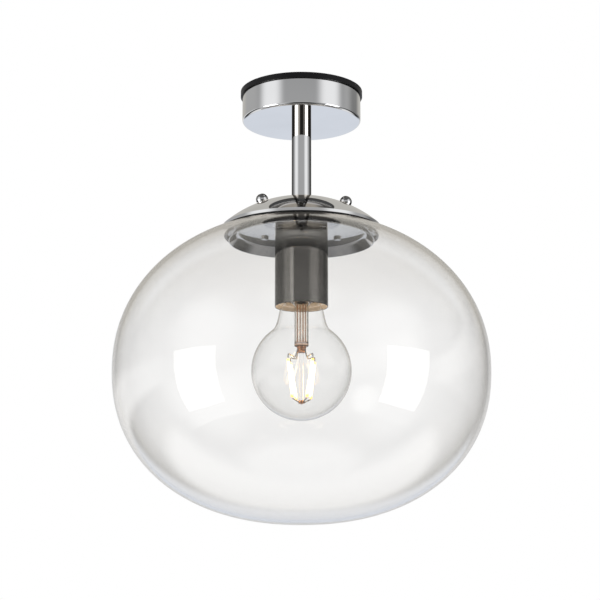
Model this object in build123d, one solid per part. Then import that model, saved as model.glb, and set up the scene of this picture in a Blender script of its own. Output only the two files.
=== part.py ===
from build123d import *
import math
import os

os.makedirs("parts", exist_ok=True)

# Sizes in mm. z = 0 is the ceiling and the light hangs toward -z.
# Ceiling base and canopy
base_d = 100.0
base_t = 4.5
base_step_t = 1.5
base_lip = 1.5
canopy_h = 22.0
canopy_wall = 1.0
canopy_edge_r = 2.2
slot_spacing = 60.0
slot_w = 5.0
slot_len = 12.0
cable_hole_r = 6.0
cable_hole_y = -24.0
strap_w = 16.0
strap_t = 1.5
ear_drop = 11.0
side_screw_r = 2.0
earth_screw_x = 16.0

# Connector block under the base
block_len = 32.0
block_depth = 15.0
block_h = 12.0
block_y = 27.0
pole_pitch = 10.0
wire_r = 1.1

# Stem, hollow rod and nuts
stem_d = 16.0
stem_len = 64.7
stem_end_r = 2.2
rod_r = 5.0
rod_bore_r = 3.5
rod_clear = 0.25
nut_af = 14.0
nut_t = 5.0
washer_r = 10.0
washer_t = 1.5

# Dome over the shade's hole
dome_sphere_r = 97.0
dome_rim_r = 64.0
dome_t = 1.2
dome_lip = 2.6
dome_flat_r = 7.0

# Shade: a superellipse of revolution, blown in one piece
shade_r = 150.0
shade_up = 124.5
shade_down = 121.0
shade_power_up = 2.10
shade_power_down = 2.22
shade_wall = 3.0
hole_cover = 3.0
seat_ring_t = 0.7
seat_gap = 0.15

# Dish inside the shade
dish_gap = 1.5
dish_drop = 25.0
dish_t = 1.0
dish_deep = 8.8
dish_bend_r = 5.0
dish_slope = 55.0
pillar_ring_r = 34.8
pillar_r = 4.0
pillar_turn = 31.0
dish_screw_r = 1.55
dish_screw_len = 8.0
dish_head_r = 3.2
dish_head_h = 2.0
dish_head_edge = 0.9
dish_slot_w = 0.8
dish_slot_deep = 0.8

# Ball screws and the hooks under the glass edge
screw_count = 3
screw_ring_r = 38.9
screw_turn = 96.0
ball_r = 4.9
ball_rise = 1.2
ball_gap = 0.3
shank_r = 2.0
shank_gap = 0.06
socket_af = 2.5
hook_nut_t = 3.0
hook_start_r = 31.0
hook_w = 8.0
hook_t = 0.8
hook_reach = 2.6
hook_gap = 0.25

# Lampholder
sleeve_d = 43.0
sleeve_len = 63.2
sleeve_t = 0.8
holder_r = 19.6
holder_wall = 3.0
thread_pitch = 3.629
thread_mean_r = 12.55
thread_depth = 1.1
thread_gap = 0.3
cap_gap = 3.0
cap_len = 16.0
cap_top_t = 7.0
cap_bevel = 5.0
wiring_h = 6.3
core_t = 6.0
post_x = 9.0
contact_h = 4.2
shell_t = 1.2
skirt_rise = 3.4
wire_run_x = 1.5

# Bulb
bulb_d = 80.0
bulb_len = 121.6
bulb_wall = 0.8
bulb_cap_len = 24.5
thread_end = 21.0
thread_start = 7.0
cap_skirt = 0.7
cap_fold = 0.4
neck_gap = 0.15
neck_join = 51.0
mount_rise = 19.6
flare_len = 7.5
collar_len = 4.8
filament_rise = 8.2
hub_gap = 2.2
hub_t = 2.4
mount_r = 5.7
mount_wall = 1.0
filament_len = 30.0
filament_r = 1.1
filament_top_r = 13.9
filament_low_r = 8.3
filament_count = 4
filament_turn = 40.0
filament_twist = 10.0
mount_wire_turn = 20.0
lead_r = 0.45

# Heights that follow from the sizes
canopy_r = base_d / 2 - base_lip
z_base = -base_t
z_step = z_base - base_step_t
z_strap = z_step - strap_t
z_canopy = z_base - canopy_h
z_floor_in = z_canopy + canopy_wall
z_stem = z_canopy - stem_len
z_sphere = z_stem - math.sqrt(dome_sphere_r**2 - dome_flat_r**2)
z_rim = z_sphere + math.sqrt(dome_sphere_r**2 - dome_rim_r**2)
z_lip = z_rim - dome_lip
hole_r = dome_rim_r - hole_cover
dish_r = hole_r - dish_gap
z_dish = z_stem - dish_drop
z_dish_low = z_dish - dish_t
z_sleeve = z_dish_low - sleeve_len
z_nut_low = z_dish_low - sleeve_t - washer_t - nut_t
z_rod_top = z_floor_in + washer_t + nut_t + 3.0
z_holder = z_nut_low - cap_gap
z_cap_cavity = z_holder - cap_top_t
z_skirt = z_holder - cap_len
z_rod_low = z_cap_cavity - 0.5
z_core = z_cap_cavity - wiring_h - core_t
z_tip = z_core - contact_h
z_bulb_low = z_tip - bulb_len
z_bulb = z_bulb_low + bulb_d / 2
z_cap_low = z_tip - bulb_cap_len
skirt_r = thread_mean_r + cap_skirt
neck_r = skirt_r - cap_fold - neck_gap


def power_height(radius, wide, tall, power):
    return tall * (1 - (radius / wide) ** power) ** (1 / power)


z_seat = z_lip - seat_ring_t - seat_gap
z_equator = z_seat - power_height(dome_rim_r, shade_r, shade_up, shade_power_up)
tip_r = hole_r + hook_reach
glass_under = power_height(tip_r, shade_r - shade_wall, shade_up - shade_wall, shade_power_up)
z_hook = z_equator + glass_under - hook_gap
ball_far = dome_sphere_r + ball_rise
screw_tilt = math.degrees(math.asin(screw_ring_r / ball_far))


def turned(*points):
    outline = Wire.make_polygon([Vector(r, 0, z) for r, z in points], close=True)
    return revolve(Face(outline), Axis.Z)


def turned_edges(edges):
    return revolve(Face(Wire(edges)), Axis.Z)


def line(start, end):
    return Edge.make_line(Vector(start[0], 0, start[1]), Vector(end[0], 0, end[1]))


def arc_about(r0, z0, radius, start, end):
    spots = [start, (start + end) / 2, end]
    spots = [math.radians(a) for a in spots]
    spots = [Vector(r0 + radius * math.cos(a), 0, z0 + radius * math.sin(a)) for a in spots]
    return Edge.make_three_point_arc(*spots)


def tube(outer, inner, low, high):
    return turned((inner, low), (outer, low), (outer, high), (inner, high))


def peg(radius, low, high, x=0.0, y=0.0):
    return Pos(x, y, (low + high) / 2) * Cylinder(radius, high - low)


def block(size_x, size_y, low, high, x=0.0, y=0.0):
    return Pos(x, y, (low + high) / 2) * Box(size_x, size_y, high - low)


def hex_nut(across, bore, low, high, x=0.0, y=0.0):
    plate = Pos(x, y, low) * RegularPolygon(across / 2, 6, major_radius=False)
    return extrude(plate, amount=high - low) - peg(bore, low - 1, high + 1, x, y)


def around(shape, count, start):
    return [Rot(0, 0, start + 360 * k / count) * shape for k in range(count)]


def wire_along(points, radius, bend):
    path = FilletPolyline(*points, radius=bend)
    heading = Vector(*points[1]) - Vector(*points[0])
    section = Plane(origin=points[0], z_dir=heading) * Circle(radius)
    return sweep(section, path=path)


def straight_wire(start, end, radius):
    heading = Vector(*end) - Vector(*start)
    section = Plane(origin=start, z_dir=heading) * Circle(radius)
    return extrude(section, amount=heading.length)


def slot_cut(x):
    cut = Pos(x, 0, z_strap - 2) * SlotOverall(slot_len, slot_w)
    return extrude(cut, amount=-z_strap + 4)


def ceiling_base():
    plate = peg(base_d / 2, z_base, 0) + peg(canopy_r - canopy_wall - 0.3, z_step, z_base)
    plate -= slot_cut(slot_spacing / 2) + slot_cut(-slot_spacing / 2)
    for side in (-0.5, 0.5):
        plate -= peg(1.35, z_step - 1, z_base + 0.2, side * pole_pitch, block_y)
    return plate - peg(cable_hole_r, z_step - 1, 1, 0, cable_hole_y)


def cable_grommet():
    body = tube(cable_hole_r - 0.05, cable_hole_r - 2.5, z_step, -0.5)
    body += tube(cable_hole_r + 2.0, cable_hole_r - 2.5, z_step - 1.5, z_step)
    return Pos(0, cable_hole_y, 0) * body


ear_x = canopy_r - canopy_wall - 0.2


def ceiling_strap():
    strap = block(2 * ear_x, strap_w, z_strap, z_step)
    for side in (-1, 1):
        strap += block(strap_t, strap_w, z_strap - ear_drop, z_step, side * (ear_x - strap_t / 2))
        strap -= slot_cut(side * slot_spacing / 2)
    corner = Pos(0, 0, z_strap) * Cylinder(canopy_r - canopy_wall - 0.1, 4 * ear_drop)
    strap = strap & corner
    strap -= Pos(0, 0, z_side_screw) * Rot(0, 90, 0) * Cylinder(side_screw_r, 2 * base_d)
    return strap - peg(side_screw_r + 0.05, z_strap - 1, z_step + 1, earth_screw_x)


z_side_screw = z_strap - ear_drop * 0.6


def side_screws():
    reach = canopy_r - 0.4
    grub = Pos(reach - 4, 0, z_side_screw) * Rot(0, 90, 0) * Cylinder(side_screw_r - 0.05, 8)
    grub -= Pos(reach, 0, z_side_screw) * Box(2, 2.6, 0.7)
    return Compound(children=around(grub, 2, 0))


def canopy():
    inner = canopy_r - canopy_wall
    edge = canopy_edge_r
    inner_edge = edge - canopy_wall
    edges = [
        line((rod_r + rod_clear, z_canopy), (canopy_r - edge, z_canopy)),
        arc_about(canopy_r - edge, z_canopy + edge, edge, -90, 0),
        line((canopy_r, z_canopy + edge), (canopy_r, z_base)),
        line((canopy_r, z_base), (inner, z_base)),
        line((inner, z_base), (inner, z_canopy + edge)),
        arc_about(canopy_r - edge, z_canopy + edge, inner_edge, 0, -90),
        line((canopy_r - edge, z_floor_in), (rod_r + rod_clear, z_floor_in)),
        line((rod_r + rod_clear, z_floor_in), (rod_r + rod_clear, z_canopy)),
    ]
    cross = Pos(0, 0, z_side_screw) * Rot(0, 90, 0) * Cylinder(side_screw_r + 0.1, 2 * base_d)
    return turned_edges(edges) - cross


def earth_screw():
    head = peg(3.6, z_strap - 3.0, z_strap - 0.9, earth_screw_x)
    head -= block(8, 0.9, z_strap - 3.5, z_strap - 2.0, earth_screw_x)
    return head + peg(side_screw_r, z_strap - 0.9, z_step - 0.1, earth_screw_x)


def earth_lug():
    ring = tube(4.2, side_screw_r + 0.1, z_strap - 0.85, z_strap - 0.05)
    tail = block(2.6, 4.0, z_strap - 0.85, z_strap - 0.05, 0, 5.6)
    return Pos(earth_screw_x, 0, 0) * (ring + tail)


z_block = z_step - block_h
z_pole = z_step - block_h * 0.45


def pole_hole(radius, x):
    return Pos(x, block_y, z_pole) * Rot(90, 0, 0) * Cylinder(radius, block_depth + 4)


def connector_block():
    body = block(block_len, block_depth, z_block, z_step - 0.05, 0, block_y)
    for k in (-1, 0, 1):
        body -= pole_hole(2.6, k * pole_pitch)
        for row in (-1, 1):
            body -= peg(1.9, z_block - 1, z_pole, k * pole_pitch, block_y + row * 4)
    for side in (-0.5, 0.5):
        body -= peg(1.4, z_block - 1, z_step + 1, side * pole_pitch, block_y)
    return body


def connector_sleeves():
    pieces = []
    for k in (-1, 0, 1):
        barrel = Pos(k * pole_pitch, block_y, z_pole) * Rot(90, 0, 0) * Cylinder(2.5, block_depth - 1)
        pieces.append(barrel - pole_hole(wire_r + 0.4, k * pole_pitch))
    return Compound(children=pieces)


def connector_screws():
    pieces = []
    for k in (-1, 0, 1):
        for row in (-1, 1):
            spot = (k * pole_pitch, block_y + row * 4)
            pin = peg(1.7, z_block + 1.0, z_pole - 2.6, *spot)
            pieces.append(pin - block(4, 0.6, z_block, z_block + 1.6, *spot))
    return Compound(children=pieces)


def block_screws():
    pieces = []
    for side in (-0.5, 0.5):
        spot = (side * pole_pitch, block_y)
        pin = peg(1.3, z_block - 0.05, z_base, *spot) + peg(2.4, z_block - 1.6, z_block - 0.05, *spot)
        pieces.append(pin - block(6, 0.6, z_block - 2, z_block - 1.0, *spot))
    return Compound(children=pieces)


def stem_tube():
    bore = rod_r + rod_clear
    edges = [
        line((bore, z_stem), (stem_d / 2 - stem_end_r, z_stem)),
        arc_about(stem_d / 2 - stem_end_r, z_stem + stem_end_r, stem_end_r, -90, 0),
        line((stem_d / 2, z_stem + stem_end_r), (stem_d / 2, z_canopy)),
        line((stem_d / 2, z_canopy), (bore, z_canopy)),
        line((bore, z_canopy), (bore, z_stem)),
    ]
    return turned_edges(edges)


def threaded_rod():
    return tube(rod_r, rod_bore_r, z_rod_low, z_rod_top)


def stack_washer(high):
    return tube(washer_r, rod_r + rod_clear, high - washer_t, high)


def stack_nut(high):
    return hex_nut(nut_af, rod_r + 0.05, high - nut_t, high)


def dome_shell(outer, inner, low):
    top_angle = math.degrees(math.acos(dome_flat_r / dome_sphere_r))
    rim_angle = math.degrees(math.acos(outer / dome_sphere_r))
    inner_r = dome_sphere_r - dome_t
    bore = rod_r + rod_clear
    in_rim = math.degrees(math.acos(inner / inner_r))
    in_top = math.degrees(math.acos(bore / inner_r))
    z_in_rim = z_sphere + math.sqrt(inner_r**2 - inner**2)
    z_in_top = z_sphere + math.sqrt(inner_r**2 - bore**2)
    edges = [
        line((bore, z_stem), (dome_flat_r, z_stem)),
        arc_about(0, z_sphere, dome_sphere_r, top_angle, rim_angle),
        line((outer, z_rim), (outer, low)),
        line((outer, low), (inner, low)),
        line((inner, low), (inner, z_in_rim)),
        arc_about(0, z_sphere, inner_r, in_rim, in_top),
        line((bore, z_in_top), (bore, z_stem)),
    ]
    return turned_edges(edges)


z_dome_in = z_sphere + math.sqrt((dome_sphere_r - dome_t) ** 2 - (rod_r + rod_clear) ** 2)


def on_dome(shape, angle):
    return Rot(0, 0, angle) * Pos(0, 0, z_sphere) * Rot(0, screw_tilt, 0) * shape


def screw_angles():
    return [screw_turn + 360 * k / screw_count for k in range(screw_count)]


def holder_dome():
    shell = dome_shell(dome_rim_r, dome_rim_r - dome_t, z_lip)
    drill = peg(shank_r + shank_gap, dome_sphere_r - 4 * dome_t, dome_sphere_r + dome_t)
    for angle in screw_angles():
        shell -= on_dome(drill, angle)
    return shell


def shade_height(radius):
    return z_equator + power_height(radius, shade_r, shade_up, shade_power_up)


def seat_ring():
    inner = dome_rim_r - dome_t
    low = shade_height(inner) + seat_gap
    return turned(
        (inner, z_lip), (dome_rim_r, z_lip), (dome_rim_r, z_seat + seat_gap), (inner, low)
    )


def centre_spacer():
    return tube(rod_r + 3, rod_r + rod_clear, z_dish, z_dome_in - 0.35)


def dish_pillars():
    inner = dome_sphere_r - dome_t - 0.05
    post = peg(pillar_r, z_dish, z_stem, pillar_ring_r) & (Pos(0, 0, z_sphere) * Sphere(inner))
    post -= peg(dish_screw_r + 0.05, z_dish - 1, z_dish + dish_screw_len + 1, pillar_ring_r)
    return Compound(children=around(post, screw_count, pillar_turn))


def dish_screws():
    z_head = z_dish_low - dish_head_h
    head = peg(dish_head_r, z_head, z_dish_low, pillar_ring_r)
    head = fillet(head.edges().group_by(Axis.Z)[0], dish_head_edge)
    head -= block(2 * dish_head_r, dish_slot_w, z_head - 0.5, z_head + dish_slot_deep, pillar_ring_r)
    head += peg(dish_screw_r, z_dish_low, z_dish + dish_screw_len, pillar_ring_r)
    return Compound(children=around(head, screw_count, pillar_turn))


def holder_dish():
    bore = rod_r + rod_clear
    slant = math.radians(dish_slope)
    along = math.cos(slant)
    down = math.sin(slant)
    inner = dish_bend_r - dish_t
    flank = (dish_deep - dish_bend_r * (1 - along) - dish_t * along) / down
    r0 = dish_r - dish_bend_r * down - flank * along
    z0 = z_dish - dish_bend_r
    bend_end = (r0 + dish_bend_r * down, z0 + dish_bend_r * along)
    inner_end = (r0 + inner * down, z0 + inner * along)
    rim = (dish_r, bend_end[1] - flank * down)
    inner_rim = (dish_r - dish_t * down, rim[1] - dish_t * along)
    edges = [
        line((bore, z_dish), (r0, z_dish)),
        arc_about(r0, z0, dish_bend_r, 90, 90 - dish_slope),
        line(bend_end, rim),
        line(rim, inner_rim),
        line(inner_rim, inner_end),
        arc_about(r0, z0, inner, 90 - dish_slope, 90),
        line((r0, z_dish_low), (bore, z_dish_low)),
        line((bore, z_dish_low), (bore, z_dish)),
    ]
    dish = turned_edges(edges)
    screw_hole = peg(dish_screw_r + 0.15, z_dish_low - 1, z_dish + 1, pillar_ring_r)
    for cut in around(screw_hole, screw_count, pillar_turn):
        dish -= cut
    return dish


hook_top_r = dome_sphere_r - dome_t - 0.2
hook_low_r = hook_top_r - hook_t


def sphere_angle(radius, sphere_r):
    return math.degrees(math.acos(radius / sphere_r))


def glass_hook():
    leg_in = dish_r + 0.4
    leg_out = math.sqrt((hole_r - 0.15) ** 2 - (hook_w / 2) ** 2)
    foot = z_hook - hook_t
    over = arc_about(
        0, z_sphere, hook_top_r, sphere_angle(hook_start_r, hook_top_r), sphere_angle(leg_out, hook_top_r)
    )
    under = arc_about(
        0, z_sphere, hook_low_r, sphere_angle(leg_in, hook_low_r), sphere_angle(hook_start_r, hook_low_r)
    )
    corners = [(leg_out, z_hook), (tip_r, z_hook), (tip_r, foot), (leg_in, foot)]
    corners = [over @ 1] + [Vector(r, 0, z) for r, z in corners] + [under @ 0]
    edges = [Edge.make_line(a, b) for a, b in zip(corners, corners[1:])]
    edges += [over, under, Edge.make_line(under @ 1, over @ 0)]
    return extrude(Face(Wire(edges)), amount=hook_w / 2, dir=(0, 1, 0), both=True)


def glass_hooks():
    drill = peg(shank_r + 0.2, hook_low_r - 2, hook_top_r + 2)
    pieces = [Rot(0, 0, angle) * glass_hook() - on_dome(drill, angle) for angle in screw_angles()]
    return Compound(children=pieces)


def hook_nuts():
    high = hook_low_r - 0.1
    nut = hex_nut(7.0, shank_r + shank_gap, high - hook_nut_t, high)
    return Compound(children=[on_dome(nut, angle) for angle in screw_angles()])


def ball_screw(angle):
    ball = Pos(0, 0, ball_far) * Sphere(ball_r) - Sphere(dome_sphere_r + ball_gap)
    socket = Pos(0, 0, ball_far + ball_r - 2.2) * RegularPolygon(socket_af / 2, 6, major_radius=False)
    screw = ball + peg(shank_r, hook_low_r - hook_nut_t - 1.5, ball_far)
    return on_dome(screw - extrude(socket, amount=5), angle)


def power_curve(wide, tall, power, first, last, count):
    spots = []
    for k in range(count + 1):
        angle = math.radians(first + (last - first) * k / count)
        r = wide * math.cos(angle) ** (2 / power)
        z = math.copysign(tall * abs(math.sin(angle)) ** (2 / power), angle)
        spots.append(Vector(max(r, 0.0), 0, z_equator + z))
    return spots


def arcs_through(spots):
    return [Edge.make_three_point_arc(*spots[k : k + 3]) for k in range(0, len(spots) - 2, 2)]


def shade_side(wall):
    wide = shade_r - wall
    ratio = (hole_r / wide) ** (shade_power_up / 2)
    last = math.degrees(math.acos(ratio))
    above = power_curve(wide, shade_up - wall, shade_power_up, last, 0, 8)
    below = power_curve(wide, shade_down - wall, shade_power_down, 0, -90, 8)
    pole = Vector(0, 0, z_equator - shade_down + wall)
    cap = Edge.make_tangent_arc(pole, Vector(1, 0, 0), below[6])
    return arcs_through(above) + arcs_through(below[:7]) + [cap], above[0], pole


def glass_shade():
    outer, outer_edge, outer_pole = shade_side(0)
    inner, inner_edge, inner_pole = shade_side(shade_wall)
    ends = [Edge.make_line(outer_edge, inner_edge), Edge.make_line(outer_pole, inner_pole)]
    return turned_edges(outer + inner + ends)


def socket_sleeve():
    outer = sleeve_d / 2
    inner = outer - sleeve_t
    high = z_dish_low
    bore = rod_r + rod_clear
    return turned(
        (bore, high),
        (outer, high),
        (outer, z_sleeve),
        (inner, z_sleeve),
        (inner, high - sleeve_t),
        (bore, high - sleeve_t),
    )


def holder_cap():
    cavity = holder_r - holder_wall
    return turned(
        (rod_r + 0.05, z_holder),
        (holder_r - cap_bevel, z_holder),
        (holder_r, z_holder - cap_bevel),
        (holder_r, z_skirt),
        (cavity, z_skirt),
        (cavity, z_cap_cavity),
        (rod_r + 0.05, z_cap_cavity),
    )


def holder_core():
    core = peg(holder_r - holder_wall - 0.2, z_core, z_core + core_t)
    for side in (-1, 1):
        core -= peg(2.1, z_core - 1, z_core + core_t + 1, side * post_x)
    return core


def holder_posts():
    pieces = []
    for side in (-1, 1):
        post = peg(2.0, z_core + 0.5, z_core + core_t + 1, side * post_x)
        bore = peg(wire_r + 0.1, z_core + core_t - 2, z_core + core_t + 2, side * post_x)
        pieces.append(post - bore)
    return Compound(children=pieces)


def holder_skirt():
    return tube(holder_r, holder_r - holder_wall, z_sleeve + skirt_rise, z_skirt)


def thread_shell():
    low = z_tip - thread_end + 0.4
    bore = thread_mean_r + thread_depth / 2 + thread_gap
    shell = tube(bore + shell_t, bore, low, z_core - 1.0)
    flange = tube(holder_r - holder_wall - 0.2, 9.0, z_core - 1.0, z_core - 0.05)
    return shell + flange


def centre_contact():
    arm = peg(3.0, z_tip + 0.1, z_core)
    return fillet(arm.edges().group_by(Axis.Z)[0], 0.6)


def stem_wire(side):
    x_run = side * wire_run_x
    start = (side * pole_pitch, block_y - block_depth / 2 + 3, z_pole)
    turn = (side * pole_pitch, block_y - block_depth / 2 - 6, z_pole)
    points = [
        start,
        turn,
        (x_run, 0, z_pole),
        (x_run, 0, z_rod_low - 1.3),
        (side * post_x, 0, z_rod_low - 2.7),
        (side * post_x, 0, z_core + core_t - 1.8),
    ]
    return wire_along(points, wire_r, 2.0)


def earth_wire():
    front = block_y - block_depth / 2
    z_lug = z_strap - 0.9 - wire_r
    points = [
        (0, front + 3, z_pole),
        (0, front - 4, z_pole),
        (earth_screw_x, front - 6.5, z_pole),
        (earth_screw_x, front - 6.5, z_lug),
        (earth_screw_x, 5.2, z_lug),
    ]
    return wire_along(points, wire_r, 1.4)


def bulb_cap():
    low = z_tip - thread_end
    high = z_tip - thread_start
    root = thread_mean_r - thread_depth / 2
    crest = thread_mean_r + thread_depth / 2
    bore = root - 0.6
    fold = skirt_r - cap_fold
    outside = [(fold, z_cap_low), (skirt_r, z_cap_low), (skirt_r, low - 0.6), (root, low)]
    for k in range(int((high - low) / thread_pitch)):
        z = low + k * thread_pitch
        for share, r in ((0.3, root), (0.55, crest), (0.75, crest), (1.0, root)):
            outside.append((r, z + share * thread_pitch))
    outside += [(root, high), (10.2, high + 2.4), (9.6, high + 2.4), (bore, high - 0.2)]
    outside += [(bore, low - 0.4), (fold, low - 0.4)]
    return turned(*outside)


def bulb_insulator():
    high = z_tip - 2.0
    low = z_tip - 4.6
    return turned((0, low + 0.35), (9.9, low + 0.35), (9.4, low + 1.2), (5.4, high), (0, high))


def bulb_contact():
    return turned((0, z_tip - 2.0), (4.8, z_tip - 2.0), (4.4, z_tip - 0.7), (2.5, z_tip), (0, z_tip))


def bulb_side(wall):
    globe = bulb_d / 2 - wall
    join = math.radians(neck_join)
    slope = Vector(math.sin(join), 0, -math.cos(join))
    grow = bulb_d / 2 * math.cos(join) - neck_r
    drop = z_cap_low - z_bulb - bulb_d / 2 * math.sin(join)
    spots = [Vector(neck_r - wall, 0, z_cap_low - 0.3)]
    for wide, low in ((0.32, 0.192), (0.61, 0.753)):
        spots.append(Vector(neck_r + wide * grow - wall, 0, z_cap_low - low * drop))
    spots.append(Vector(globe * math.cos(join), 0, z_bulb + globe * math.sin(join)))
    flare = Edge.make_spline(spots, tangents=[Vector(0, 0, -1), slope], scale=True)
    return [
        Edge.make_line(Vector(neck_r - wall, 0, z_cap_low + 3.0), spots[0]),
        flare,
        arc_about(0, z_bulb, globe, neck_join, -90),
    ]


def bulb_glass():
    outer = bulb_side(0)
    inner = bulb_side(bulb_wall)
    ends = [
        Edge.make_line(outer[0] @ 0, inner[0] @ 0),
        Edge.make_line(outer[2] @ 1, inner[2] @ 1),
    ]
    return turned_edges(outer + inner + ends)


z_mount = z_bulb + mount_rise
z_collar = z_mount - collar_len
z_fil = z_bulb + filament_rise
z_fil_low = z_fil - filament_len
z_hub_bulb = z_fil_low - hub_gap


def bulb_mount():
    top = z_cap_low + 1.5
    flare = neck_r - bulb_wall - 0.1
    throat = top - flare_len
    waist = top - flare_len / 2
    inner = mount_r - mount_wall
    return turned(
        (0, z_mount), (mount_r - 0.8, z_mount), (mount_r, z_mount + 1.0), (mount_r, throat),
        (mount_r + 1.5, waist), (flare, top - 1.2), (flare, top), (flare - mount_wall, top),
        (inner + 1.2, waist), (inner, throat), (inner, z_mount + 3.0), (0, z_mount + 3.0),
    )


def mount_wires():
    wire = peg(lead_r, z_mount + 3.05, z_cap_low - 3.0, mount_r - mount_wall - 2 * lead_r - 0.4)
    return Compound(children=around(wire, filament_count, mount_wire_turn))


def bulb_collar():
    return peg(mount_r * 0.62, z_collar, z_mount)


def bulb_rod():
    return peg(1.6, z_hub_bulb, z_collar)


def bulb_hub():
    return peg(2.6, z_hub_bulb - hub_t, z_hub_bulb)


def at_angle(radius, angle, z):
    a = math.radians(angle)
    return (radius * math.cos(a), radius * math.sin(a), z)


def filaments():
    top = at_angle(filament_top_r, filament_turn, z_fil)
    low = at_angle(filament_low_r, filament_turn - filament_twist, z_fil_low)
    return Compound(children=around(straight_wire(top, low, filament_r), filament_count, 0))


def top_leads():
    start_r = mount_r * 0.62 + 0.5
    points = [
        (start_r, 0, z_mount - 2.5),
        (start_r + 2.4, 0, z_fil + 2.2),
        (filament_top_r, 0, z_fil + 4.2),
        (filament_top_r, 0, z_fil + 0.75),
    ]
    lead = wire_along(points, lead_r, 0.9)
    return Compound(children=around(lead, filament_count, filament_turn))


def low_leads():
    start = (filament_low_r - 0.1, 0, z_fil_low - 0.85)
    lead = straight_wire(start, (2.85, 0, z_hub_bulb - hub_t / 2), lead_r)
    return Compound(children=around(lead, filament_count, filament_turn - filament_twist))


z_low_washer = z_dish_low - sleeve_t
nodes = {
    "ceiling_base": ceiling_base(),
    "cable_grommet": cable_grommet(),
    "ceiling_strap": ceiling_strap(),
    "canopy": canopy(),
    "canopy_side_screws": side_screws(),
    "earth_screw": earth_screw(),
    "earth_lug": earth_lug(),
    "connector_block": connector_block(),
    "connector_sleeves": connector_sleeves(),
    "connector_screws": connector_screws(),
    "block_screws": block_screws(),
    "live_wire": stem_wire(1),
    "neutral_wire": stem_wire(-1),
    "earth_wire": earth_wire(),
    "stem_tube": stem_tube(),
    "threaded_rod": threaded_rod(),
    "top_washer": stack_washer(z_floor_in + washer_t),
    "top_nut": stack_nut(z_floor_in + washer_t + nut_t),
    "holder_dome": holder_dome(),
    "seat_ring": seat_ring(),
    "centre_spacer": centre_spacer(),
    "dish_pillars": dish_pillars(),
    "dish_screws": dish_screws(),
    "holder_dish": holder_dish(),
    "glass_hooks": glass_hooks(),
    "hook_nuts": hook_nuts(),
    "glass_shade": glass_shade(),
    "socket_sleeve": socket_sleeve(),
    "low_washer": stack_washer(z_low_washer),
    "low_nut": stack_nut(z_low_washer - washer_t),
    "lampholder_cap": holder_cap(),
    "lampholder_core": holder_core(),
    "lampholder_posts": holder_posts(),
    "lampholder_skirt": holder_skirt(),
    "thread_shell": thread_shell(),
    "centre_contact": centre_contact(),
    "bulb_cap": bulb_cap(),
    "bulb_insulator": bulb_insulator(),
    "bulb_contact": bulb_contact(),
    "bulb_glass": bulb_glass(),
    "bulb_mount": bulb_mount(),
    "mount_wires": mount_wires(),
    "bulb_collar": bulb_collar(),
    "bulb_rod": bulb_rod(),
    "bulb_hub": bulb_hub(),
    "filaments": filaments(),
    "top_leads": top_leads(),
    "low_leads": low_leads(),
}
for k, angle in enumerate(screw_angles()):
    nodes[f"ball_screw_{k + 1}"] = ball_screw(angle)

for name, shape in nodes.items():
    export_step(shape, f"parts/{name}.step")
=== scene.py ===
import bpy
import bmesh
import math
from mathutils import Matrix, Vector


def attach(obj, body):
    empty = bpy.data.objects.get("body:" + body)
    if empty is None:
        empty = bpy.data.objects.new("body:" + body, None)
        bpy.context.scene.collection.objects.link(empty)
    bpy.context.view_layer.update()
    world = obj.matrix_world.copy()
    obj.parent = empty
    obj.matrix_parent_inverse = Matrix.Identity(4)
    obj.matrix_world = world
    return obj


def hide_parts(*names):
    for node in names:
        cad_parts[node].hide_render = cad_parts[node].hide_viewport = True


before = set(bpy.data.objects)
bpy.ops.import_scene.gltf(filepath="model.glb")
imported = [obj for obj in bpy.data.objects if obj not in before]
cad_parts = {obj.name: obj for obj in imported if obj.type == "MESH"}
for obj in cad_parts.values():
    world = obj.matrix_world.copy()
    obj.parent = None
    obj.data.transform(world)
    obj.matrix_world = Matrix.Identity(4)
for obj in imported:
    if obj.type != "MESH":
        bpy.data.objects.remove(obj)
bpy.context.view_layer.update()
mm = 0.001
samePoint = 1e-6  # points closer than this are one
print("frame loaded,", len(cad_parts), "nodes")


# mesh helpers

def bend(r0, z0, radius, start, end, count):  # points on an arc in the r-z plane
    spots = []
    for k in range(count + 1):
        a = math.radians(start + (end - start) * k / count)
        spots.append((r0 + radius * math.cos(a), z0 + radius * math.sin(a)))
    return spots


def arcAngle(r, radius):  # where an arc about the axis reaches that r
    return math.degrees(math.acos(r / radius))


def run(start, end, count=6, hold=0.02):  # straight run with holding rings near its ends
    shares = [0.0, hold] + [hold + (1 - 2 * hold) * k / count for k in range(1, count)] + [1 - hold, 1.0]
    return [(start[0] + (end[0] - start[0]) * s, start[1] + (end[1] - start[1]) * s) for s in shares]


def joined(*lists):  # one outline from several, doubled points dropped
    outline = []
    for spots in lists:
        for spot in spots:
            if not outline or math.dist(spot, outline[-1]) > samePoint:
                outline.append(spot)
    if math.dist(outline[0], outline[-1]) < samePoint:
        outline.pop()
    return outline


def soften(mesh, sharpAngle=32):
    mesh.shade_smooth()
    mesh.set_sharp_from_angle(angle=math.radians(sharpAngle))
    return mesh


def smoothMesh(mesh, sharpAngle=32):
    bm = bmesh.new()
    bm.from_mesh(mesh)
    bmesh.ops.remove_doubles(bm, verts=bm.verts, dist=samePoint)
    bmesh.ops.dissolve_degenerate(bm, dist=samePoint / 10, edges=bm.edges)
    bmesh.ops.recalc_face_normals(bm, faces=bm.faces)
    bm.to_mesh(mesh)
    bm.free()
    return soften(mesh, sharpAngle)


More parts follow.
